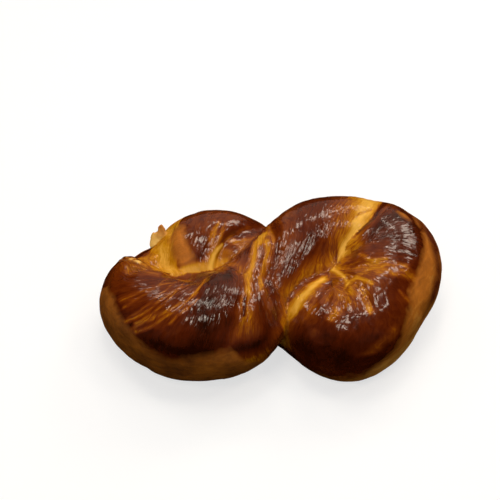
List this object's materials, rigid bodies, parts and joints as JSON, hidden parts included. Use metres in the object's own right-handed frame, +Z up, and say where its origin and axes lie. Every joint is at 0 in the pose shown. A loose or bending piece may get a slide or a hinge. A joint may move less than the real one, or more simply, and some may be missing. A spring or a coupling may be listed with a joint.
{
  "type": "twisted bread roll",
  "caption": "Twisted bread roll: a glossy, egg-washed rope of dough laid in a figure eight, with creased folds, closed dimples and a torn flake of crust.",
  "frame": {"origin": "middle of the base, on the surface that the roll lies on", "axes": "+X along the roll's length, +Y from the front lobe of the left loop to the back, +Z up"},
  "size_m": [0.1648, 0.1012, 0.0476],
  "materials": {
    "crust": "baked crust, glossy where the egg wash lies and matte below it"
  },
  "bodies": {
    "root": {"roll": "crust"}
  },
  "joints": []
}
